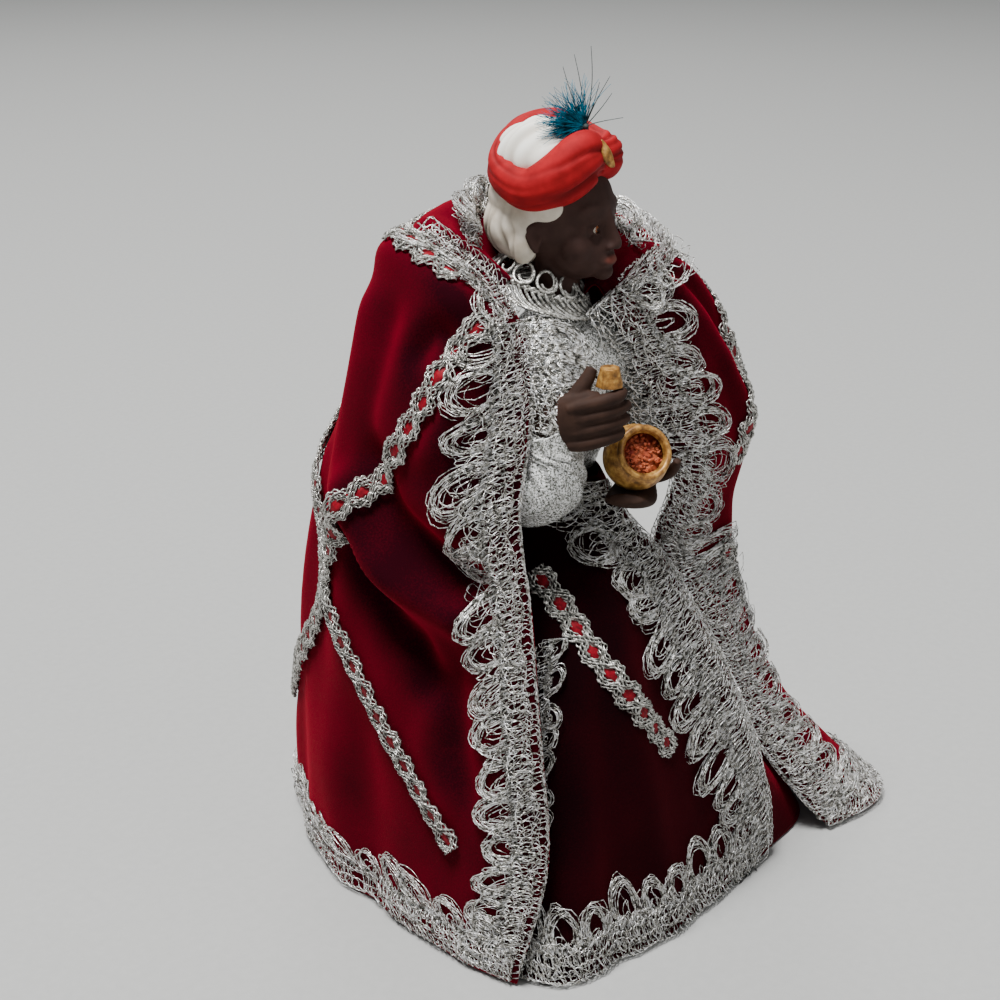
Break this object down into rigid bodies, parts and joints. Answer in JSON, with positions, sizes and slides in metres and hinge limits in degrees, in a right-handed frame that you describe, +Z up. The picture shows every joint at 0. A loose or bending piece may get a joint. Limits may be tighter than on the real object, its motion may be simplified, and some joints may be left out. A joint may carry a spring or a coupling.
{
  "type": "dressed crib figure",
  "caption": "Standing crib figure of a wise man in a turban and a velvet cape, holding an open round jar and its lid.",
  "frame": {"origin": "middle of the bounding box's underside, on the surface that the figure stands on", "axes": "+Z up along the figure's height, the figure's front towards -Y and its left hand towards +X"},
  "size_m": [0.2214, 0.1926, 0.321],
  "materials": {
    "clay_dark": "matte painted clay",
    "gold_paint": "gold painted clay",
    "resin": "matte red-brown painted crumbs",
    "feather": "soft dyed feather",
    "lame": "silver knit with a metal thread",
    "silver_lace": "silver metal-thread lace",
    "ribbon_braid": "silver braid with red ribbon woven through",
    "velvet": "deep red velvet"
  },
  "bodies": {
    "root": {"head": "clay_dark", "feather": "feather", "hand_right": "clay_dark", "hand_left": "clay_dark", "lid": "gold_paint", "jar": "gold_paint", "myrrh": "resin", "tunic": "lame", "collar_gimp": "silver_lace", "collar_lace": "silver_lace", "robe": "velvet", "robe_lace": "silver_lace", "cape_right": "velvet", "cape_left": "velvet", "cape_right_lace": "silver_lace", "cape_left_lace": "silver_lace", "braid_right_front": "ribbon_braid", "braid_right_back": "ribbon_braid", "braid_right_neck": "ribbon_braid", "braid_left_front": "ribbon_braid", "braid_left_back": "ribbon_braid", "braid_robe": "ribbon_braid"}
  },
  "joints": []
}
